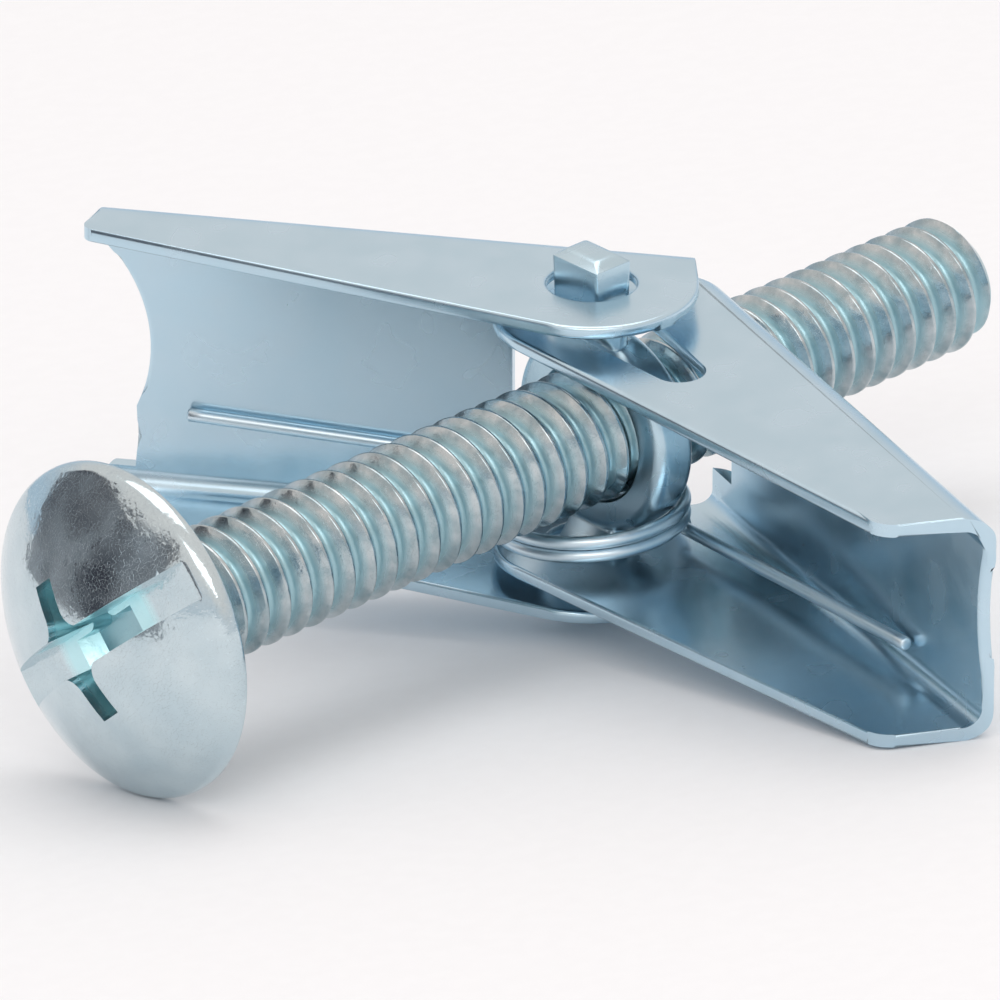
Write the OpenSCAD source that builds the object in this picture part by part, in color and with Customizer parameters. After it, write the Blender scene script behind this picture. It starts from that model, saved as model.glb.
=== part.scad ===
// Spring toggle bolt: a truss head machine screw, a trunnion nut, two folded sheet wings and a torsion
// spring. Millimetres. The origin is on the screw's axis at the underside of its head, +X runs towards the
// screw's tip and +Z along the nut's trunnion stubs, about which the wings fold.

/* [Screw] */
// Diameter over the thread's crests
screw_diameter = 6.15; // [5.9:0.05:6.2]
// Length from under the head to the tip
screw_length = 50; // [45:1:60]
// Diameter of the truss head
head_diameter = 15.3; // [13.5:0.1:16.5]
// Height of the head from its underside to the top of its dome
head_height = 3.5; // [3:0.1:4.2]
// Thickness of the head's rim, below the dome
head_rim = 0.6; // [0.4:0.05:0.9]
// Width of the screwdriver slot
slot_width = 1.8; // [1.4:0.05:2.1]
// Depth of the slot from the top of the dome
slot_depth = 2.4; // [1.6:0.1:2.5]
// Angle of the slot from +Y, seen from the tip of the screw
slot_angle = 138.5; // [0:0.5:180]
// Span of the cross recess at the top of the dome
cross_span = 7; // [5:0.1:8]
// Width of the cross recess's wings
cross_width = 1.25; // [0.9:0.05:1.5]
// Depth of the cross recess from the top of the dome
cross_depth = 4; // [3:0.1:4.5]

/* [Nut] */
// Distance from under the head to the trunnion's axis
trunnion_x = 27.6; // [26:0.1:32]
// Thickness of the disc along the screw
disc_thickness = 2.2; // [1.6:0.1:2.3]
// Rounding of the disc's rim
disc_rounding = 0.6; // [0.3:0.05:0.7]
// How far the disc sits past the trunnion's axis, towards the screw's tip
disc_shift = 0.9; // [0:0.1:0.9]
// Size of a trunnion stub along the screw
stub_thickness = 2; // [1.6:0.05:2.1]
// Size of a trunnion stub across the screw
stub_width = 2.8; // [2.2:0.05:2.8]

/* [Wings] */
// Thickness of the wings' sheet steel
sheet = 0.62; // [0.5:0.02:0.7]
// Outside radius of the folds between a wing's web and its ears
fold_radius = 1.5; // [0.9:0.05:1.6]
// Length of the outer wing from the trunnion's axis
outer_length = 23.3; // [18:0.1:25]
// Angle of the outer wing from the screw, as it lies at rest
outer_angle = 54.5; // [0:0.5:87]
// Length of the inner wing from the trunnion's axis
inner_length = 25.5; // [20:0.1:26.5]
// Distance from the trunnion's axis to the outside of the inner wing's web
inner_web = 6.95; // [6.5:0.05:7.4]
// Angle of the inner wing from the screw, as it lies at rest
inner_angle = 72.5; // [0:0.5:84]
// Distance from the trunnion's axis to the far end of the slot in the inner wing's upper ear
slot_reach = 8.15; // [7:0.05:9]

/* [Spring] */
// Diameter of the spring's wire
wire = 0.62; // [0.5:0.01:0.62]
// Rise of the coil in one turn
coil_pitch = 0.64; // [0.62:0.01:0.64]
// Length of each leg along its wing, from the trunnion's axis
leg_length = 19; // [14:0.1:20]

/* [Hidden] */

$fn = 64;

// running clearance between the shank and the nut's bore, on the radius
bore_clearance = 0.05;
shank_radius = screw_diameter / 2;
bore_radius = shank_radius + bore_clearance;
disc_radius = shank_radius + 1.625;
disc_back = disc_shift + disc_thickness / 2;
tip_chamfer = 0.6;

// the dome is a ball's cap that stands on the rim
dome_height = head_height - head_rim;
dome_radius = (pow(head_diameter / 2, 2) + pow(dome_height, 2)) / (2 * dome_height);
rim_chamfer = 0.2;
// each flank of the cross recess leans in by this for each millimetre of depth
cross_taper = tan(26.5);
cross_core = cross_span / 2 - cross_depth * cross_taper;

stub_chamfer = 0.4;
// the stubs turn with this much room in the wings' round holes
pivot_clearance = 0.28;
pivot_hole = norm([stub_thickness, stub_width]) + 2 * pivot_clearance;

outer_web = shank_radius + sheet + 0.605;
// the outer wing rides this much above the middle of the nut
outer_lift = 0.125;
// the inner wing's lower ear leans in towards the tip by this angle
lower_lean = 2.6;

// the coil lies between the shank and the inner wing's lower ear, tipped up on the inner wing's side, and is
// wide enough to pass the disc
coil_clearance = 0.025;
coil_radius = sqrt(pow(disc_radius, 2) + pow(disc_back, 2) - pow(shank_radius, 2)) + 0.072;
coil_tip = 0.08;
coil_turns = 2;
// the legs end this far from the webs
leg_gap = 0.03;
outer_leg_across = outer_web - sheet - wire / 2 - leg_gap;
inner_leg_across = inner_web - sheet - wire / 2 - leg_gap;
// the legs leave the coil at these angles from their wings' length, the outer one along its web
inner_leg_angle = 58;
outer_leg_angle = asin(outer_leg_across / coil_radius);
coil_start = inner_angle - 180 + inner_leg_angle;
coil_end = 180 - outer_angle - outer_leg_angle + 360 * coil_turns;
coil_sweep = coil_end - coil_start;
coil_bottom = -shank_radius - wire / 2 - coil_clearance - coil_pitch * (720 - coil_start) / 360;
outer_tip_z = -2.6;
inner_tip_z = -3.1;

// the inner wing's ears have this much room over the coil, and the outer wing's ears lie outside them
ear_room = 0.24;
inner_height = 2 * (wire / 2 - coil_bottom + ear_room + sheet);
outer_height = inner_height + 2 * sheet + 1.51;
// the stubs stand out of the outer wing by this much
stub_reach = 1.625;
stub_span = outer_height + 2 * stub_reach;

// the outer wing's web starts clear of the disc's rim, and the inner wing's rests open against the shank
disc_reach = norm([disc_radius, disc_back - disc_rounding]);
outer_web_start = sqrt(pow(disc_reach + 0.09, 2) - pow(outer_web - sheet, 2));
stop_gap = 0.05;
inner_web_start = (shank_radius + stop_gap - (inner_web - sheet) * cos(inner_angle)) / sin(inner_angle);
// at its folds the outer wing's web starts later by this, to clear the inner ears when both are folded
relief = 0.9;
// the folded sheet each wing is cut from runs this far behind the pivot and to its open side
blank_back = 7;
blank_side = 9;
// half of the height of each web's opening for the shank
outer_window = outer_height / 2 - fold_radius - 0.65;
inner_window = shank_radius + 0.35;

// rounded corners of the ears, as [along the wing, towards the web, radius], the pivot's end first
outer_corners = [[0, 0, 4.75],
                 [outer_length - 0.7, 1.4, 0.6],
                 [outer_length - 1, outer_web - 0.3, 0.35],
                 [-3, outer_web - 0.9, 0.95]];
inner_corners = [[0, 0, 4.4],
                 [inner_length - 2.4, 3.1, 1.4],
                 [inner_length - 0.3, inner_web - 0.3, 0.35],
                 [0.55, inner_web - 1.2, 1.25]];
// the waves at a web's end stop this far from its ears' outsides
bay_margin = 1.6;
slot_end_radius = 1.2;
slot_end = [slot_reach - slot_end_radius, 0.85, slot_end_radius];

// ---- screw ----

module along_x() {
    rotate([0, 90, 0]) children();
}

module shank() {
    along_x() cylinder(r = shank_radius, h = screw_length - tip_chamfer);
    translate([screw_length - tip_chamfer, 0, 0])
        along_x() cylinder(r1 = shank_radius, r2 = shank_radius - tip_chamfer, h = tip_chamfer);
}

module head_blank() {
    along_x() {
        translate([0, 0, -rim_chamfer])
            cylinder(r1 = head_diameter / 2, r2 = head_diameter / 2 - rim_chamfer, h = rim_chamfer);
        translate([0, 0, -head_rim])
            cylinder(r = head_diameter / 2, h = head_rim - rim_chamfer);
        intersection() {
            translate([0, 0, dome_radius - head_height]) sphere(r = dome_radius);
            translate([0, 0, -head_height]) cylinder(r = head_diameter / 2, h = dome_height);
        }
    }
}

// One bar of the cross, its two ends leaning in towards the bottom
module cross_bar() {
    top = cross_span / 2 + cross_taper;
    bottom = cross_span / 2 - cross_depth * cross_taper;
    translate([0, 0, -cross_width / 2])
        linear_extrude(cross_width)
            polygon([[-head_height - 1, -top], [-head_height - 1, top],
                     [cross_depth - head_height, bottom], [cross_depth - head_height, -bottom]]);
}

module drive() {
    rotate([slot_angle, 0, 0]) {
        translate([-head_height - 1, -head_diameter, -slot_width / 2])
            cube([slot_depth + 1, 2 * head_diameter, slot_width]);
        for (turn = [0, 90])
            rotate([turn, 0, 0]) cross_bar();
        translate([-head_height, 0, 0])
            along_x() cylinder(r1 = cross_core + 0.15, r2 = cross_core - 0.55, h = cross_depth);
    }
}

module screw() {
    color([0.75, 0.79, 0.82])
        difference() {
            union() {
                shank();
                head_blank();
            }
            drive();
        }
}

// ---- nut ----

module disc_profile() {
    half = disc_thickness / 2;
    union() {
        translate([0, -half]) square([disc_radius - disc_rounding, disc_thickness]);
        translate([0, disc_rounding - half]) square([disc_radius, disc_thickness - 2 * disc_rounding]);
        for (side = [-1, 1])
            translate([disc_radius - disc_rounding, side * (half - disc_rounding)]) circle(r = disc_rounding);
    }
}

module disc() {
    translate([disc_shift, 0, 0])
        along_x() rotate_extrude() disc_profile();
}

// A rectangular bar from inside the disc to past the outer wing, its end dressed down on all four sides.
// In front of the disc it starts just outside the disc's rim.
module stub() {
    half = stub_thickness / 2;
    side = stub_width / 2;
    top = stub_span / 2;
    root = disc_radius - 1;
    shoulder = disc_radius + 0.2;
    front_root = 0.2 + max(-half, disc_shift - disc_thickness / 2);
    intersection() {
        rotate([90, 0, 0])
            linear_extrude(stub_width, center = true)
                polygon([[half, root], [half, top - stub_chamfer], [half - stub_chamfer, top],
                         [stub_chamfer - half, top], [-half, top - stub_chamfer], [-half, shoulder],
                         [front_root, root]]);
        rotate([90, 0, 90])
            linear_extrude(2 * stub_thickness, center = true)
                polygon([[side, root - 1], [side, top - stub_chamfer], [side - stub_chamfer, top],
                         [stub_chamfer - side, top], [-side, top - stub_chamfer], [-side, root - 1]]);
    }
}

module nut() {
    color([0.7, 0.75, 0.79])
        translate([trunnion_x, 0, 0])
            difference() {
                union() {
                    disc();
                    stub();
                    mirror([0, 0, 1]) stub();
                }
                translate([disc_shift - disc_thickness, 0, 0])
                    along_x() cylinder(r = bore_radius, h = 2 * disc_thickness);
            }
}

// ---- wings ----
// A wing is drawn with its length along +X, its web towards +Y and the trunnion's axis on Z.

// Points of an arc
function arc(centre, radius, from, to, steps) =
    [for (i = [0 : steps]) centre + radius * [cos(from + (to - from) * i / steps),
                                              sin(from + (to - from) * i / steps)]];

// Direction that faces outwards from the straight run between two corners, taken counterclockwise
function facing(a, b) =
    atan2(b[1] - a[1], b[0] - a[0]) - acos((a[2] - b[2]) / norm([b[0] - a[0], b[1] - a[1]]));

// Outline round a list of circles, as a belt runs over pulleys
function belt(pulleys) =
    let (count = len(pulleys))
    [for (i = [0 : count - 1])
        let (here = pulleys[i],
             from = facing(pulleys[(i + count - 1) % count], here),
             turn = (facing(here, pulleys[(i + 1) % count]) - from + 720) % 360)
        each arc([here[0], here[1]], here[2], from, from + turn, max(4, round(turn / 6)))];

// Section across a wing, its web at the right
module section(height, web, fold) {
    translate([-blank_side, -height / 2]) square([blank_side + web - fold, height]);
    translate([-blank_side, fold - height / 2]) square([blank_side + web, height - 2 * fold]);
    for (side = [-1, 1])
        translate([web - fold, side * (height / 2 - fold)]) circle(r = fold);
}

module channel(height, web, from, to) {
    translate([from, 0, 0])
        rotate([90, 0, 90])
            linear_extrude(to - from)
                difference() {
                    section(height, web, fold_radius);
                    section(height - 2 * sheet, web - sheet, fold_radius - sheet);
                }
}

// One ear, above, with its half of the web. It can lean in towards the tip.
module leaning_half(height, web, lean, to) {
    intersection() {
        rotate([0, lean, 0]) channel(height, web, -blank_back, to);
        translate([1 - blank_back, 1 - blank_side, 0]) cube([to + blank_back - 2, web + blank_side, height]);
    }
}

// Cuts a web away, from behind the pivot to a place along the wing
module web_gap(web, to, height) {
    translate([-1 - blank_back, -blank_side, -height / 2])
        cube([1 + blank_back + to, web + blank_side + 1, height]);
}

// A wing with a window round the pivot for the shank. fold_start, if it isn't 0, is where the web starts
// at its folds.
module wing(height, web, web_start, window, fold_start, corners, to, lean_below) {
    intersection() {
        difference() {
            union() {
                leaning_half(height, web, 0, to);
                mirror([0, 0, 1]) leaning_half(height, web, lean_below, to);
            }
            web_gap(web, web_start, 2 * window);
            if (fold_start > 0)
                web_gap(web, fold_start, height - 2 * sheet);
        }
        linear_extrude(2 * height, center = true) polygon(belt(corners));
    }
}

// Cuts a round bay into the end of a web
module bay(centre, radius, web, half_height) {
    intersection() {
        translate([centre[0], web + 1, centre[1]])
            rotate([90, 0, 0])
                cylinder(r = radius, h = sheet + 1.5);
        translate([0, 0, -half_height]) cube([40, 20, 2 * half_height]);
    }
}

module placed_wing(angle, side, lift) {
    translate([trunnion_x, 0, lift])
        rotate([0, 0, 180 - side * angle])
            mirror([0, side > 0 ? 1 : 0, 0])
                children();
}

module outer_wing() {
    color([0.72, 0.77, 0.8])
        placed_wing(outer_angle, 1, outer_lift)
            difference() {
                wing(outer_height, outer_web, outer_web_start, outer_window, outer_web_start + relief,
                     outer_corners, outer_length + 2, 0);
                cylinder(d = pivot_hole, h = 2 * outer_height, center = true);
                // the end of the web is waved
                bay([outer_length + 4.9, 0.3], 7.4, outer_web, outer_height / 2 - bay_margin);
                bay([outer_length + 16.1, -3.7], 18, outer_web, outer_height / 2 - bay_margin);
            }
}

module inner_wing() {
    color([0.72, 0.77, 0.8])
        placed_wing(inner_angle, -1, 0)
            difference() {
                wing(inner_height, inner_web, inner_web_start, inner_window, 0,
                     inner_corners, inner_length + 2, lower_lean);
                cylinder(d = pivot_hole, h = 2 * inner_height, center = true);
                // the upper ear's hole is drawn out into a tapered slot along the wing
                linear_extrude(inner_height)
                    polygon(belt([[0, 0, pivot_hole / 2], slot_end]));
                bay([inner_length + 9.75, 1.2], 10.2, inner_web, inner_height / 2 - bay_margin);
            }
}

// ---- spring ----

// A point given along a wing and towards its web, in the plane of the screw
function on_wing(angle, side, along, across) =
    [trunnion_x - along * cos(angle) + across * sin(angle),
     side * (along * sin(angle) + across * cos(angle))];

function on_coil(turned) =
    let (y = coil_radius * sin(coil_start + turned))
    [trunnion_x + coil_radius * cos(coil_start + turned),
     y,
     coil_bottom + coil_pitch * turned / 360 - coil_tip * y];

function bend(a, corner, b, steps) =
    [for (i = [0 : steps])
        let (t = i / steps)
        a * (1 - t) * (1 - t) + corner * 2 * t * (1 - t) + b * t * t];

function towards(from, to, distance) = from + (to - from) * distance / norm(to - from);

function leg_tip(angle, side, across, height) =
    concat(on_wing(angle, side, leg_length, across), height);

function wire_path() =
    let (inner_tip = leg_tip(inner_angle, -1, inner_leg_across, inner_tip_z),
         outer_tip = leg_tip(outer_angle, 1, outer_leg_across, outer_tip_z),
         bend_turn = 14,
         bend_run = 1,
         first = on_coil(0),
         last = on_coil(coil_sweep),
         plain_sweep = coil_sweep - 2 * bend_turn,
         steps = round(plain_sweep / 9))
    concat([inner_tip],
           bend(towards(first, inner_tip, bend_run), first, on_coil(bend_turn), 4),
           [for (i = [1 : steps - 1]) on_coil(bend_turn + plain_sweep * i / steps)],
           bend(on_coil(coil_sweep - bend_turn), last, towards(last, outer_tip, bend_run), 4),
           [outer_tip]);

function unit(v) = v / norm(v);

// Rings of points across a path. Each ring lies between the runs on its two sides.
function rings(path, radius, sides) =
    [for (i = [0 : len(path) - 1])
        let (ahead = unit(path[min(i + 1, len(path) - 1)] - path[min(i, len(path) - 2)]),
             behind = unit(path[max(i, 1)] - path[max(i - 1, 0)]),
             way = unit(ahead + behind),
             flat = unit(cross([0, 0, 1], way)),
             up = cross(way, flat))
        for (k = [0 : sides - 1])
            path[i] + radius * (cos(360 * k / sides) * flat + sin(360 * k / sides) * up)];

module swept_wire(path, radius, sides) {
    last = len(path) - 1;
    polyhedron(rings(path, radius, sides),
               concat([[for (k = [0 : sides - 1]) k]],
                      [[for (k = [sides - 1 : -1 : 0]) last * sides + k]],
                      [for (i = [0 : last - 1], k = [0 : sides - 1])
                          [i * sides + k, (i + 1) * sides + k,
                           (i + 1) * sides + (k + 1) % sides, i * sides + (k + 1) % sides]]));
}

module spring() {
    color([0.6, 0.65, 0.7])
        swept_wire(wire_path(), wire / 2, 12);
}

screw();
nut();
outer_wing();
inner_wing();
spring();
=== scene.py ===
"""Looks of the spring toggle bolt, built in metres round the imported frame."""

import math

import bmesh
import bpy
from mathutils import Matrix, Vector


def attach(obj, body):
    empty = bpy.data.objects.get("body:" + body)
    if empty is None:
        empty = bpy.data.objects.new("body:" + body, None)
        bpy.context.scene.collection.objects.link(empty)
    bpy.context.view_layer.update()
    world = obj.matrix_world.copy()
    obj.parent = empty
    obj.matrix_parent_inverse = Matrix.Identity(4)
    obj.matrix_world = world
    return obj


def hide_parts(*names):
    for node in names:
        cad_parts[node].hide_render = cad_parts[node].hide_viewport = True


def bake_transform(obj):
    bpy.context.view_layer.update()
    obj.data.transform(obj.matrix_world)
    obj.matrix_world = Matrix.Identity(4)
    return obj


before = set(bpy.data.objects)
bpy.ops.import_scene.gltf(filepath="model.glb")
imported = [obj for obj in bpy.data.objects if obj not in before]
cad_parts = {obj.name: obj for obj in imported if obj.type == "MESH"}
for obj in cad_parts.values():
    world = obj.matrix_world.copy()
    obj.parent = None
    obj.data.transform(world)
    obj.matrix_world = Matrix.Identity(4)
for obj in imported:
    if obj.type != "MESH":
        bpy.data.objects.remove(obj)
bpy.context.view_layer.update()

MM = 0.001
MICRON = 0.000001

# ---- sizes in millimetres: the part's own, and the roundings that only the looks have ----
CREST_RADIUS = 3.07
ROOT_RADIUS = 2.4
PITCH = 1.27
SCREW_LENGTH = 50
TIP_CHAMFER = 0.5
THREAD_PHASE = 0.35
# the thread's mesh starts this far inside the head, so that no gap shows under it
THREAD_START = -0.15

HEAD_RADIUS = 7.65
HEAD_HEIGHT = 3.5
RIM_HEIGHT = 0.6
RIM_ROUNDING = 0.8
SLOT_WIDTH = 1.8
SLOT_DEPTH = 2.4
SLOT_ANGLE = 138.5
CROSS_SPAN = 7
CROSS_WIDTH = 1.25
CROSS_DEPTH = 4
CROSS_TAPER = math.tan(math.radians(26.5))

TRUNNION_X = 27.6
BORE_RADIUS = 3.125
DISC_RADIUS = 4.7
DISC_THICKNESS = 2.2
DISC_ROUNDING = 0.6
DISC_SHIFT = 0.9
STUB_THICKNESS = 2
STUB_WIDTH = 2.8
STUB_TOP = 8.948
STUB_CHAMFER = 0.4
RIM_ROLL = 0.2
SHEET = 0.62
OUTER_ANGLE = 54.5
INNER_ANGLE = 72.5
OUTER_WEB = 4.3
INNER_WEB = 6.95

WIRE = 0.62
COIL_RADIUS = 4.15
COIL_PITCH = 0.64
COIL_BOTTOM = -4.778
COIL_TIP = 0.08
COIL_TURNS = 2
LEG_LENGTH = 19
LEG_GAP = 0.03
INNER_LEG_ANGLE = 58
OUTER_TIP_Z = -2.6
INNER_TIP_Z = -3.1


# ---- shapes ----

def link(name, mesh):
    piece = bpy.data.objects.new(name, mesh)
    bpy.context.scene.collection.objects.link(piece)
    return piece


def mesh_of(name, points, faces):
    """Mesh from points in millimetres."""
    mesh = bpy.data.meshes.new(name)
    mesh.from_pydata([[c * MM for c in point] for point in points], [], faces)
    mesh.update()
    return mesh


def smooth(mesh, sharp_angle=35):
    mesh.shade_smooth()
    mesh.set_sharp_from_angle(angle=math.radians(sharp_angle))


def edit(mesh, work):
    """Runs work(bm) on a mesh."""
    bm = bmesh.new()
    bm.from_mesh(mesh)
    work(bm)
    bm.to_mesh(mesh)
    bm.free()
    mesh.update()


def face_outwards(bm):
    bmesh.ops.recalc_face_normals(bm, faces=bm.faces[:])


def drop_slivers(bm):
    """Merges points that a cut or a bevel left almost on top of each other or along a straight edge."""
    too_near = 0.006 * MM
    too_thin = 0.001 * MM
    straight_within = math.radians(0.5)
    bmesh.ops.remove_doubles(bm, verts=bm.verts[:], dist=too_near)
    bmesh.ops.dissolve_degenerate(bm, dist=too_thin, edges=bm.edges[:])
    straight = [vert for vert in bm.verts
                if len(vert.link_edges) == 2 and vert.calc_edge_angle(0) < straight_within]
    bmesh.ops.dissolve_verts(bm, verts=straight)


def turned(name, profile, sides, closed=False):
    """A solid turned about X from (x, radius) pairs: either one end to the other, or a closed loop."""
    rings = len(profile)
    points = [(x, radius * math.cos(math.tau * k / sides), radius * math.sin(math.tau * k / sides))
              for x, radius in profile for k in range(sides)]
    faces = []
    for ring in range(rings if closed else rings - 1):
        low = ring * sides
        high = (ring + 1) % rings * sides
        for k in range(sides):
            after = (k + 1) % sides
            faces.append((low + k, high + k, high + after, low + after))
    if not closed:
        faces.append(tuple(range(sides - 1, -1, -1)))
        faces.append(tuple(range((rings - 1) * sides, rings * sides)))
    mesh = mesh_of(name, points, faces)
    edit(mesh, face_outwards)
    return mesh


def prism(name, outline, half_depth):
    """A prism along Z from an outline in X and Y."""
    count = len(outline)
    points = [(x, y, z) for z in (-half_depth, half_depth) for x, y in outline]
    faces = [tuple(range(count - 1, -1, -1)), tuple(range(count, 2 * count))]
    for i in range(count):
        after = (i + 1) % count
        faces.append((i, after, count + after, count + i))
    mesh = mesh_of(name, points, faces)
    edit(mesh, face_outwards)
    return mesh


def combine(piece, other, operation):
    """Joins or cuts two closed meshes and keeps the result in the first."""
    modifier = piece.modifiers.new("combine", "BOOLEAN")
    modifier.operation = operation
    modifier.solver = "EXACT"
    modifier.object = other
    settle(piece)
    bpy.data.objects.remove(other)


def cut(piece, cutter):
    combine(piece, cutter, "DIFFERENCE")


def settle(piece):
    """Turns a piece's modifiers into its mesh."""
    bpy.context.view_layer.update()
    evaluated = piece.evaluated_get(bpy.context.evaluated_depsgraph_get())
    mesh = bpy.data.meshes.new_from_object(evaluated)
    piece.modifiers.clear()
    piece.data = mesh


def round_edges(piece, width, segments=3):
    """Rounds every edge sharper than 32 degrees, as far as the faces beside it leave room."""
    modifier = piece.modifiers.new("round_edges", "BEVEL")
    modifier.width = width * MM
    modifier.segments = segments
    modifier.limit_method = "ANGLE"
    modifier.angle_limit = math.radians(32)
    settle(piece)
    edit(piece.data, drop_slivers)
    smooth(piece.data, 40)
    keep_flats(piece)


def keep_flats(piece):
    """Shades flat faces flat, with all of the turn in the narrow faces between them."""
    weighted = piece.modifiers.new("flat_faces", "WEIGHTED_NORMAL")
    weighted.keep_sharp = True


def rim_edges(bm):
    """A sheet's sharp edges, apart from those at tight corners and around small faces."""
    sharp_above = math.radians(40)
    gentle_below = math.radians(32)
    least_radius = 1.6 * MM
    least_area = 6 * MM * MM
    sharp = [edge for edge in bm.edges
             if len(edge.link_faces) == 2 and edge.calc_face_angle() > sharp_above]

    def gentle(vert):
        runs = [edge for edge in vert.link_edges if edge in sharp]
        if len(runs) != 2:
            return False
        bend = (vert.co - runs[0].other_vert(vert).co).angle(runs[1].other_vert(vert).co - vert.co)
        length = (runs[0].calc_length() + runs[1].calc_length()) / 2
        return bend < gentle_below and bend * least_radius < length

    def beside_a_side(edge):
        return any(face.calc_area() > least_area for face in edge.link_faces)

    return [edge for edge in sharp
            if beside_a_side(edge) and all(gentle(vert) for vert in edge.verts)]


def roll_rims(bm):
    """Rounds a sheet's edges as its stamping leaves them."""
    bmesh.ops.bevel(bm, geom=rim_edges(bm), offset=RIM_ROLL * MM, segments=3, profile=0.5,
                    affect="EDGES", clamp_overlap=False)


def cad_copy(node, name):
    """A copy of a CAD node's mesh, with its flat faces joined up so that their edges can be rounded."""
    shortest_edge = 0.06 * MM
    flat_within = math.radians(1)

    def clean(bm):
        bmesh.ops.remove_doubles(bm, verts=bm.verts[:], dist=shortest_edge)
        bmesh.ops.dissolve_limit(bm, angle_limit=flat_within, verts=bm.verts[:], edges=bm.edges[:])

    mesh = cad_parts[node].data.copy()
    mesh.materials.clear()
    if mesh.has_custom_normals:
        mesh.attributes.remove(mesh.attributes["custom_normal"])
    edit(mesh, clean)
    return link(name, mesh)


def place(piece, node, body, slot, material):
    """Gives a piece its material and the body that it rides on, and hides the node that it stands in
    for. slot is not used.
    """
    piece.data.materials.clear()
    piece.data.materials.append(material)
    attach(piece, body)
    if node:
        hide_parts(node)


# ---- screw ----

def thread_profile():
    """(turn, radius) pairs over one pitch of a rolled thread: flat crest at 0, rounded root at 0.5."""
    crest = 0.045
    shoulder = 0.075
    shoulder_radius = CREST_RADIUS - 0.03
    return [
        (-shoulder, shoulder_radius),
        (-crest, CREST_RADIUS),
        (crest, CREST_RADIUS),
        (shoulder, shoulder_radius),
        (0.34, ROOT_RADIUS + 0.13),
        (0.39, ROOT_RADIUS + 0.05),
        (0.45, ROOT_RADIUS + 0.01),
        (0.5, ROOT_RADIUS),
        (0.55, ROOT_RADIUS + 0.01),
        (0.61, ROOT_RADIUS + 0.05),
        (0.66, ROOT_RADIUS + 0.13),
    ]


def thread_points(start, end, sides):
    """Points of a thread in rows, each one turn of a helix. At its end it narrows to a chamfer."""
    turns = math.ceil((end - start) / PITCH) + 3
    rows = [(start + (turn + share - 1.5 + THREAD_PHASE) * PITCH, radius)
            for turn in range(turns) for share, radius in thread_profile()]
    points = []
    for along, radius in rows:
        for k in range(sides):
            angle = math.tau * k / sides
            x = along + PITCH * k / sides
            limit = CREST_RADIUS - TIP_CHAMFER + max(0, end - x)
            here = min(radius, limit)
            points.append((x, here * math.cos(angle), here * math.sin(angle)))
    return points


def thread_faces(rows, sides):
    """Faces between rows of points. The last side of a row joins the row one pitch further on."""
    per_turn = len(thread_profile())
    faces = []
    for row in range(rows - 1):
        for k in range(sides - 1):
            low = row * sides + k
            faces.append((low, low + 1, low + sides + 1, low + sides))
        far = row + per_turn
        if far + 1 < rows:
            faces.append((row * sides + sides - 1, far * sides,
                          (far + 1) * sides, (row + 1) * sides + sides - 1))
    return faces


def thread_mesh(start, end, sides=96):
    """A right-handed thread along X, cut off square at both ends."""
    points = thread_points(start, end, sides)
    mesh = mesh_of("thread", points, thread_faces(len(points) // sides, sides))

    def trim(bm):
        for at, way in ((start, -1), (end, 1)):
            bmesh.ops.bisect_plane(
                bm, geom=bm.verts[:] + bm.edges[:] + bm.faces[:], dist=1e-9,
                plane_co=(at * MM, 0, 0), plane_no=(way, 0, 0), clear_outer=True,
            )
        bmesh.ops.holes_fill(bm, edges=[e for e in bm.edges if e.is_boundary], sides=0)
        face_outwards(bm)

    edit(mesh, trim)
    smooth(mesh, 40)
    return mesh


def dome_ball():
    """Radius of the ball whose cap is the head's dome."""
    dome = HEAD_HEIGHT - RIM_HEIGHT
    return (HEAD_RADIUS ** 2 + dome ** 2) / (2 * dome)


def arc(centre, radius, start, end, steps):
    """Points of an arc, by angles in degrees."""
    angles = [math.radians(start + (end - start) * i / steps) for i in range(steps + 1)]
    return [(centre[0] + radius * math.cos(a), centre[1] + radius * math.sin(a)) for a in angles]


def head_profile():
    """(x, radius) pairs of the truss head from the middle of its dome to its underside."""
    ball = dome_ball()
    centre = ball - HEAD_HEIGHT
    rim = HEAD_RADIUS - RIM_ROUNDING
    inner = ball - RIM_ROUNDING
    meeting = 180 - math.degrees(math.asin(rim / inner))
    rim_x = centre - math.sqrt(inner ** 2 - rim ** 2)
    under = 0.14
    return (arc((centre, 0), ball, 179, meeting, 36)
            + arc((rim_x, rim), RIM_ROUNDING, meeting, 90, 10)[1:]
            + arc((-under, HEAD_RADIUS - under), under, 90, 0, 5)[1:])


def cross_outline(reach, across, along, corner):
    """A cross in plan, as points, with round corners between its arms.

    across and along are half of the arms' widths, and corner is the corners' radius.
    """
    outline = []
    for quarter in range(4):
        side, next_side = (across, along) if quarter % 2 == 0 else (along, across)
        points = [(reach, -side), (reach, side)]
        points += arc((next_side + corner, side + corner), corner, 270, 180, 8)
        turn = math.radians(90 * quarter)
        outline += [(x * math.cos(turn) - y * math.sin(turn), x * math.sin(turn) + y * math.cos(turn))
                    for x, y in points]
    return outline


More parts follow.
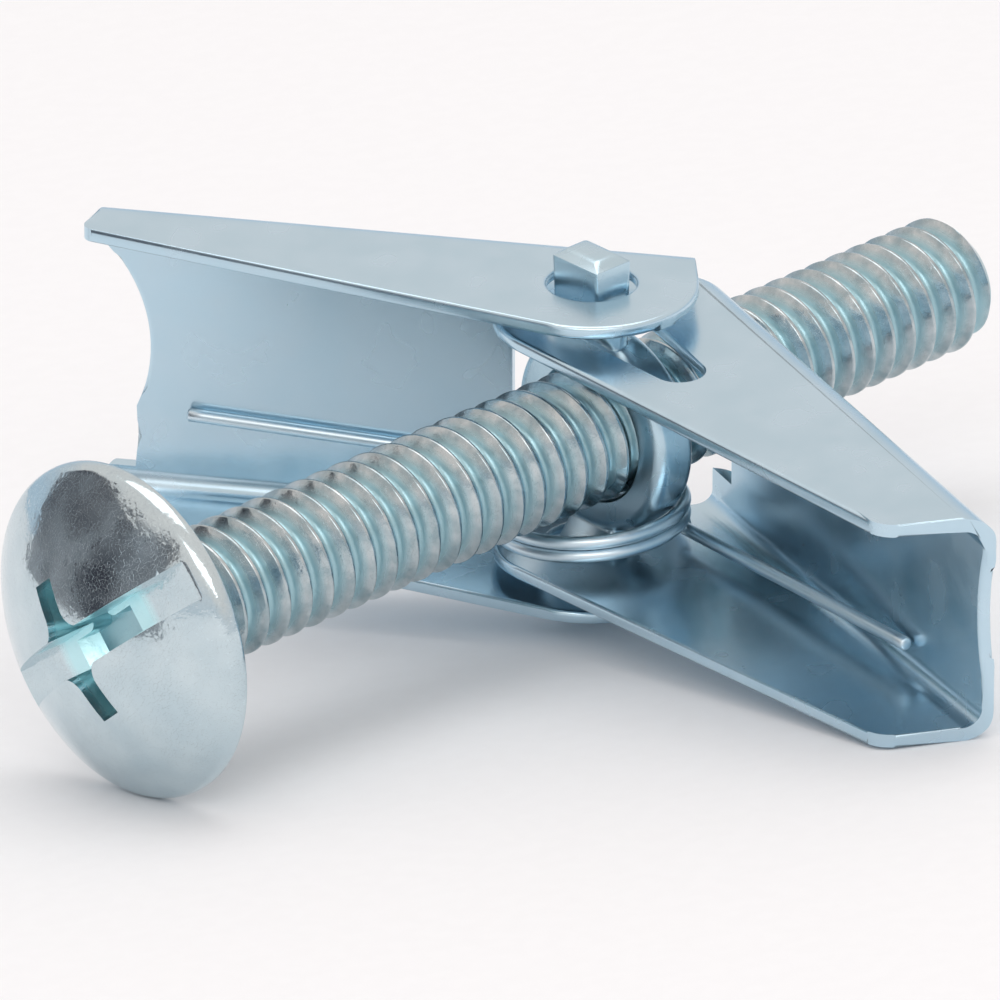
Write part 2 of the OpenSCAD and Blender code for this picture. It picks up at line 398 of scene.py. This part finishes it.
def cross_recess():
    """The cutter of the cross recess. It narrows evenly from above the dome to its bottom."""
    # two of its arms lie in the slot, and are a hair narrower than the slot is
    slot_arm = SLOT_WIDTH / 2 - 0.02
    bottom_arm = CROSS_WIDTH * 0.4
    top_corner = 1.15
    bottom_corner = 0.3
    top = cross_outline(CROSS_SPAN / 2 + CROSS_TAPER, CROSS_WIDTH / 2, slot_arm, top_corner)
    bottom = cross_outline(CROSS_SPAN / 2 - CROSS_DEPTH * CROSS_TAPER,
                           bottom_arm, bottom_arm, bottom_corner)
    count = len(top)
    points = [(-HEAD_HEIGHT - 1, y, z) for z, y in top]
    points += [(CROSS_DEPTH - HEAD_HEIGHT, y, z) for z, y in bottom]
    faces = [tuple(range(count)), tuple(range(2 * count - 1, count - 1, -1))]
    for i in range(count):
        after = (i + 1) % count
        faces.append((i, count + i, count + after, after))
    mesh = mesh_of("cross", points, faces)
    edit(mesh, face_outwards)
    return link("cross", mesh)


def make_screw(head_material, thread_material):
    head = link("screw_head", turned("screw_head", head_profile(), sides=144))
    above = -HEAD_HEIGHT - 1
    bottom = SLOT_DEPTH - HEAD_HEIGHT
    reach = 12
    slot = [(above, -reach), (bottom, -reach), (bottom, reach), (above, reach)]
    for cutter in (link("slot", prism("slot", slot, SLOT_WIDTH / 2)), cross_recess()):
        cutter.data.transform(Matrix.Rotation(math.radians(SLOT_ANGLE), 4, "X"))
        cut(head, cutter)
    round_edges(head, 0.08, segments=2)
    settle(head)
    place(head, "screw", "screw", "screw_plating", head_material)
    thread = link("screw_thread", thread_mesh(THREAD_START, SCREW_LENGTH))
    place(thread, None, "screw", "screw_plating", thread_material)


# ---- spring ----

def on_wing(angle, side, along, across):
    """X and Y of a point on a wing at rest, by its distances along the wing and towards its web."""
    a = math.radians(angle)
    return (TRUNNION_X - along * math.cos(a) + across * math.sin(a),
            side * (along * math.sin(a) + across * math.cos(a)))


def tube(name, path, radius, sides=16):
    """A round wire along a path, closed at both ends with a slightly rounded edge."""
    path = [Vector(p) for p in path]
    ahead = [(path[min(i + 1, len(path) - 1)] - path[max(i - 1, 0)]).normalized()
             for i in range(len(path))]
    rounding = radius * 0.25
    rings = [(path[0], ahead[0], radius - rounding)]
    rings.append((path[0] + ahead[0] * rounding, ahead[0], radius))
    rings += [(path[i], ahead[i], radius) for i in range(1, len(path) - 1)]
    rings.append((path[-1] - ahead[-1] * rounding, ahead[-1], radius))
    rings.append((path[-1], ahead[-1], radius - rounding))
    across = Vector((0, 0, 1)).cross(rings[0][1]).normalized()
    points = []
    for centre, way, size in rings:
        across = (across - way * across.dot(way)).normalized()
        up = way.cross(across)
        for k in range(sides):
            angle = math.tau * k / sides
            points.append(centre + size * (math.cos(angle) * across + math.sin(angle) * up))
    faces = [tuple(range(sides - 1, -1, -1)),
             tuple(range((len(rings) - 1) * sides, len(rings) * sides))]
    for i in range(len(rings) - 1):
        for k in range(sides):
            after = (k + 1) % sides
            faces.append((i * sides + k, i * sides + after,
                          (i + 1) * sides + after, (i + 1) * sides + k))
    mesh = mesh_of(name, points, faces)
    edit(mesh, face_outwards)
    smooth(mesh, 50)
    return link(name, mesh)


def coil_path(start, end, steps=120):
    """Points of the spring's coil between two angles in degrees."""

    def on_coil(angle):
        y = COIL_RADIUS * math.sin(math.radians(angle))
        rise = COIL_PITCH * (angle - start) / 360
        return (TRUNNION_X + COIL_RADIUS * math.cos(math.radians(angle)), y,
                COIL_BOTTOM + rise - COIL_TIP * y)

    return [on_coil(start + (end - start) * i / steps) for i in range(steps + 1)]


def make_leg(name, root, tip, material):
    """A straight leg of the spring, from the coil to a wing."""
    steps = 24
    # a hair thinner than the coil, in which its root lies
    radius = WIRE / 2 - 0.004
    first = Vector(root)
    last = Vector(tip)
    leg = tube(name, [first.lerp(last, i / steps) for i in range(steps + 1)], radius)
    leg.data.materials.append(material)
    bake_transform(leg)


def make_spring(material):
    outer_across = OUTER_WEB - SHEET - WIRE / 2 - LEG_GAP
    inner_across = INNER_WEB - SHEET - WIRE / 2 - LEG_GAP
    outer_leg_angle = math.degrees(math.asin(outer_across / COIL_RADIUS))
    start = INNER_ANGLE - 180 + INNER_LEG_ANGLE
    end = 180 - OUTER_ANGLE - outer_leg_angle + 360 * COIL_TURNS
    path = coil_path(start, end)
    coil = tube("spring_coil", path, WIRE / 2)
    place(coil, "spring", "nut", "spring_wire", material)
    inner_tip = (*on_wing(INNER_ANGLE, -1, LEG_LENGTH, inner_across), INNER_TIP_Z)
    outer_tip = (*on_wing(OUTER_ANGLE, 1, LEG_LENGTH, outer_across), OUTER_TIP_Z)
    make_leg("spring_inner_leg", path[0], inner_tip, material)
    make_leg("spring_outer_leg", path[-1], outer_tip, material)


# ---- nut and wings ----

def disc_profile():
    """The nut's disc as a closed loop of (x, radius) pairs, its rim rounded and its bore bevelled."""
    front = TRUNNION_X + DISC_SHIFT - DISC_THICKNESS / 2
    back = front + DISC_THICKNESS
    rim = DISC_RADIUS - DISC_ROUNDING
    bevel = 0.12
    return ([(back - bevel, BORE_RADIUS), (front + bevel, BORE_RADIUS), (front, BORE_RADIUS + bevel)]
            + arc((front + DISC_ROUNDING, rim), DISC_ROUNDING, 180, 90, 8)
            + arc((back - DISC_ROUNDING, rim), DISC_ROUNDING, 90, 0, 8)
            + [(back, BORE_RADIUS + bevel)])


def stub(side):
    """One trunnion stub, its end dressed down on four sides, with slightly rounded edges."""
    half = STUB_THICKNESS / 2
    # the stub starts inside the disc, and its front edge slants down to the disc's rim
    root = DISC_RADIUS - 1
    shoulder = STUB_TOP - STUB_CHAMFER
    foot = DISC_SHIFT - DISC_THICKNESS / 2 + 0.3
    slant_top = DISC_RADIUS + 1
    slant_bottom = DISC_RADIUS - 0.25
    outline = [(TRUNNION_X + x, z) for x, z in (
        (half, root), (half, shoulder), (half - STUB_CHAMFER, STUB_TOP), (STUB_CHAMFER - half, STUB_TOP),
        (-half, shoulder), (-half, slant_top), (foot, slant_bottom), (foot, root))]
    mesh = prism("stub", outline, STUB_WIDTH / 2)

    def dress(bm):
        top = [e for e in bm.edges
               if all(v.co.y > (STUB_TOP - 0.01) * MM for v in e.verts)
               and e.verts[0].co.z * e.verts[1].co.z > 0]
        bmesh.ops.bevel(bm, geom=top, offset=STUB_CHAMFER * MM, segments=1, affect="EDGES")

    edit(mesh, dress)
    mesh.transform(Matrix.Rotation(math.radians(90 * side), 4, "X"))
    piece = link("stub", mesh)
    round_edges(piece, 0.2)
    settle(piece)
    return piece


def make_nut(material):
    nut = link("nut_body", turned("nut_body", disc_profile(), sides=128, closed=True))
    for side in (-1, 1):
        combine(nut, stub(side), "UNION")
    edit(nut.data, drop_slivers)
    smooth(nut.data, 30)
    place(nut, "nut", "nut", "nut_plating", material)


def make_wings(material):
    for node in ("outer_wing", "inner_wing"):
        wing = cad_copy(node, node + "_sheet")
        edit(wing.data, roll_rims)
        edit(wing.data, drop_slivers)
        smooth(wing.data)
        keep_flats(wing)
        place(wing, node, node, "wing_plating", material)


# ---- finishes ----

class Nodes:
    """Short ways to add and join shader nodes."""

    def __init__(self, tree):
        self.tree = tree
        tree.nodes.clear()

    def add(self, kind, inputs=None, **settings):
        node = self.tree.nodes.new(kind)
        for name, value in settings.items():
            setattr(node, name, value)
        for name, value in (inputs or {}).items():
            if isinstance(value, bpy.types.NodeSocket):
                self.tree.links.new(value, node.inputs[name])
            else:
                node.inputs[name].default_value = value
        return node

    def noise(self, place, scale, detail=3, roughness=0.55):
        return self.add("ShaderNodeTexNoise", {"Vector": place, "Scale": scale, "Detail": detail,
                                               "Roughness": roughness}).outputs["Fac"]

    def spread(self, value, low, high, to_low, to_high):
        return self.add("ShaderNodeMapRange", {"Value": value, "From Min": low, "From Max": high,
                                               "To Min": to_low, "To Max": to_high}).outputs["Result"]

    def blend(self, factor, first, second):
        node = self.add("ShaderNodeMix", data_type="RGBA")
        self.tree.links.new(factor, node.inputs["Factor"])
        for socket, value in ((node.inputs["A"], first), (node.inputs["B"], second)):
            if isinstance(value, bpy.types.NodeSocket):
                self.tree.links.new(value, socket)
            else:
                socket.default_value = value
        return node.outputs["Result"]

    def math(self, operation, first, second):
        return self.add("ShaderNodeMath", {0: first, 1: second}, operation=operation).outputs[0]


def away_from_axis(nodes, place):
    """Distance from the screw's axis."""
    across = nodes.add("ShaderNodeVectorMath", {0: place, 1: (0, 1, 1)}, operation="MULTIPLY")
    return nodes.add("ShaderNodeVectorMath", {0: across.outputs[0]}, operation="LENGTH").outputs["Value"]


def in_thread(nodes, place):
    """1 in the thread's grooves and 0 on its crests: where the grooves' painted shade and bounce light
    go.
    """
    groove = 2.55 * MM
    crest = 2.9 * MM
    return nodes.spread(away_from_axis(nodes, place), groove, crest, 1, 0)


def in_recess(nodes, place):
    """1 inside the cross recess and 0 on the dome: where the recess's painted bounce light goes."""
    ball = dome_ball()
    from_centre = nodes.add("ShaderNodeVectorMath", {0: place, 1: ((ball - HEAD_HEIGHT) * MM, 0, 0)},
                            operation="DISTANCE").outputs["Value"]
    below = nodes.spread(from_centre, (ball - 0.5) * MM, (ball - 0.15) * MM, 1, 0)
    near = nodes.spread(away_from_axis(nodes, place), 3.2 * MM, 3.9 * MM, 1, 0)
    return nodes.math("MULTIPLY", below, near)


def plated_height(nodes, place, clouds, grain, glint, swell):
    """Height of the plate's fine grain, of its crystals, worn in patches, and of its slow waves."""
    grain_scale = 6000
    crystal_scale = 6500
    wear_scale = 900
    fine = nodes.noise(place, grain_scale, 2, 0.7)
    crystals = nodes.add("ShaderNodeTexVoronoi", {"Vector": place, "Scale": crystal_scale})
    facets = nodes.add("ShaderNodeSeparateColor", {0: crystals.outputs["Color"]}).outputs[0]
    patches = nodes.noise(place, wear_scale, 3)
    worn = nodes.spread(patches, 0.42, 0.6, 0.2 * glint * MICRON, glint * MICRON)
    return nodes.math("ADD", nodes.math("MULTIPLY", fine, grain * MICRON),
                      nodes.math("ADD", nodes.math("MULTIPLY", facets, worn),
                                 nodes.math("MULTIPLY", clouds, swell * MICRON)))


def plating(name, pale, deep, roughness, grain, glint, swell, painted_hollow_light=None, tint=None, mottle=420):
    """Bright zinc plate: a cloudy tint, a fine grain, crystals that glint and a slightly wavy surface.

    grain, glint and swell are heights in micrometres. mottle is the scale of the clouds: a higher one
    makes them smaller. The function for hollows says where tint is painted in as painted bounce light
    and shade: a teal that stands in for the light that bounces and dims between the hollows' faces.
    """
    material = bpy.data.materials.new(name)
    material.use_nodes = True
    nodes = Nodes(material.node_tree)
    place = nodes.add("ShaderNodeTexCoord").outputs["Object"]
    clouds = nodes.noise(place, mottle, 2)
    colour = nodes.blend(nodes.spread(clouds, 0.35, 0.65, 0, 1), (*pale, 1), (*deep, 1))
    rough = nodes.spread(clouds, 0.3, 0.7, roughness * 1.2, roughness * 0.85)
    # painted bounce light and shade: the hollows get a teal tint in place of the light that bounces and
    # dims between their faces
    if painted_hollow_light:
        inside = painted_hollow_light(nodes, place)
        colour = nodes.blend(inside, colour, (*tint, 1))
        rough = nodes.math("ADD", rough, nodes.math("MULTIPLY", inside, 0.2))
    height = plated_height(nodes, place, clouds, grain, glint, swell)
    bump = nodes.add("ShaderNodeBump", {"Height": height, "Strength": 1.0, "Distance": 1.0})
    surface = nodes.add("ShaderNodeBsdfPrincipled", {
        "Base Color": colour, "Metallic": 1.0, "Roughness": rough, "Normal": bump.outputs["Normal"]})
    nodes.add("ShaderNodeOutputMaterial", {"Surface": surface.outputs["BSDF"]})
    return material


def paper(name, colour, other=None, scale=900):
    """Matt paper with a very faint fibre, mottled with another colour where one is given."""
    material = bpy.data.materials.new(name)
    material.use_nodes = True
    nodes = Nodes(material.node_tree)
    place = nodes.add("ShaderNodeTexCoord").outputs["Object"]
    other = other or [c * 0.99 for c in colour]
    fibre = nodes.noise(place, scale, 4)
    tint = nodes.blend(nodes.spread(fibre, 0.4, 0.62, 0, 1), (*other, 1), (*colour, 1))
    bump = nodes.add("ShaderNodeBump", {"Height": fibre, "Strength": 0.05, "Distance": 0.0001})
    surface = nodes.add("ShaderNodeBsdfPrincipled", {
        "Base Color": tint, "Roughness": 0.8, "Normal": bump.outputs["Normal"]})
    nodes.add("ShaderNodeOutputMaterial", {"Surface": surface.outputs["BSDF"]})
    return material


# ---- studio ----

def floor():
    """A pale floor that touches the head's rim, the lower stub and the inner wing's tip."""
    # square to the plane through those three places
    up = Vector((0.04875, 0.16168, 0.98564))
    size = 1.5
    mesh = bpy.data.meshes.new("floor")
    mesh.from_pydata([(-size, -size, 0), (size, -size, 0), (size, size, 0), (-size, size, 0)], [],
                     [(0, 1, 2, 3)])
    piece = link("floor", mesh)
    piece.location = Vector((27, -1, -8.95)) * MM
    piece.rotation_euler = up.to_track_quat("Z", "Y").to_euler()
    mesh.materials.append(paper("floor_paper", (0.87, 0.9, 0.93)))


def dark_card():
    """A curved dark card beyond the screw's head, hidden from the camera, for the metal to mirror."""
    middle = Vector((0, 0, -9)) * MM
    radius = 45 * MM
    height = 42 * MM
    points = []
    for angle in range(104, 194, 5):
        way = Vector((math.cos(math.radians(angle)), math.sin(math.radians(angle)), 0))
        low = middle + radius * way
        points += [low, low + Vector((0, 0, height))]
    faces = [(i, i + 2, i + 3, i + 1) for i in range(0, len(points) - 2, 2)]
    mesh = bpy.data.meshes.new("dark_card")
    mesh.from_pydata(points, [], faces)
    piece = link("dark_card", mesh)
    mesh.materials.append(paper("dark_paper", (0.015, 0.015, 0.03), (0.34, 0.35, 0.37), 35))
    piece.visible_camera = False
    piece.visible_diffuse = False
    piece.visible_shadow = False


def softbox(name, place, size, power):
    """A white area lamp aimed at the middle of the screw. Its place and size are in metres."""
    light = bpy.data.lights.new(name, "AREA")
    light.shape = "RECTANGLE"
    light.size, light.size_y = size
    light.energy = power
    lamp = bpy.data.objects.new(name, light)
    lamp.location = place
    aim = Vector((SCREW_LENGTH / 2 * MM, 0, 0)) - Vector(place)
    lamp.rotation_euler = aim.to_track_quat("-Z", "Y").to_euler()
    bpy.context.scene.collection.objects.link(lamp)


def room():
    """A pale room for the metal to mirror: bluish near the ground and warmer above."""
    world = bpy.data.worlds.new("room")
    bpy.context.scene.world = world
    world.use_nodes = True
    nodes = Nodes(world.node_tree)
    way = nodes.add("ShaderNodeTexCoord").outputs["Generated"]
    rise = nodes.add("ShaderNodeVectorMath", {0: way, 1: (0, 0, 1)}, operation="DOT_PRODUCT")
    bluish_below = -0.05
    warm_above = 0.42
    up = nodes.spread(rise.outputs["Value"], bluish_below, warm_above, 0, 1)
    walls = nodes.blend(up, (0.56, 0.67, 0.77, 1), (0.9, 0.82, 0.78, 1))
    light = nodes.add("ShaderNodeBackground", {"Color": walls, "Strength": 1.0})
    nodes.add("ShaderNodeOutputWorld", {"Surface": light.outputs[0]})


def camera():
    """A long lens that sees the bolt from the photo's place, as fitted to the photo."""
    look_down = 26.8
    turn = -43.35
    lens = bpy.data.cameras.new("camera")
    lens.lens = 558
    lens.sensor_width = 36
    lens.clip_start = 0.01
    lens.clip_end = 20
    eye = bpy.data.objects.new("camera", lens)
    eye.location = (-0.39687, -0.44377, 0.30681)
    eye.rotation_euler = (math.radians(90 - look_down), 0, math.radians(turn))
    bpy.context.scene.collection.objects.link(eye)
    bpy.context.scene.camera = eye


# the cross recess gets painted bounce light: a bright teal tint in place of the light that bounces
# between its walls
head_zinc = plating(
    "head_zinc", pale=(0.6, 0.7, 0.74), deep=(0.53, 0.64, 0.69), roughness=0.13,
    grain=2.5, glint=18, swell=8, painted_hollow_light=in_recess, tint=(0.62, 0.92, 0.97))
# the grooves get painted shade and bounce light: a teal tint in place of the light that dims and bounces
# between the flanks
thread_zinc = plating(
    "thread_zinc", pale=(0.54, 0.6, 0.62), deep=(0.34, 0.43, 0.465), roughness=0.15,
    grain=3, glint=14, swell=6, painted_hollow_light=in_thread, tint=(0.37, 0.57, 0.63), mottle=1100)
nut_zinc = plating(
    "nut_zinc", pale=(0.56, 0.71, 0.79), deep=(0.51, 0.67, 0.76), roughness=0.28,
    grain=1, glint=1.5, swell=6)
sheet_zinc = plating(
    "sheet_zinc", pale=(0.555, 0.715, 0.815), deep=(0.515, 0.685, 0.79), roughness=0.24,
    grain=0.6, glint=0.25, swell=3)
wire_zinc = plating(
    "wire_zinc", pale=(0.7, 0.82, 0.89), deep=(0.65, 0.78, 0.86), roughness=0.34,
    grain=0.8, glint=0.8, swell=3)

make_screw(head_zinc, thread_zinc)
make_nut(nut_zinc)
make_wings(sheet_zinc)
make_spring(wire_zinc)

floor()
dark_card()
room()
softbox("top_box", place=(0.1, 0.15, 0.75), size=(0.7, 0.5), power=1.4)
softbox("front_box", place=(-0.35, -0.4, 0.5), size=(0.5, 0.25), power=0.75)
camera()
bpy.context.scene.view_settings.view_transform = "Standard"
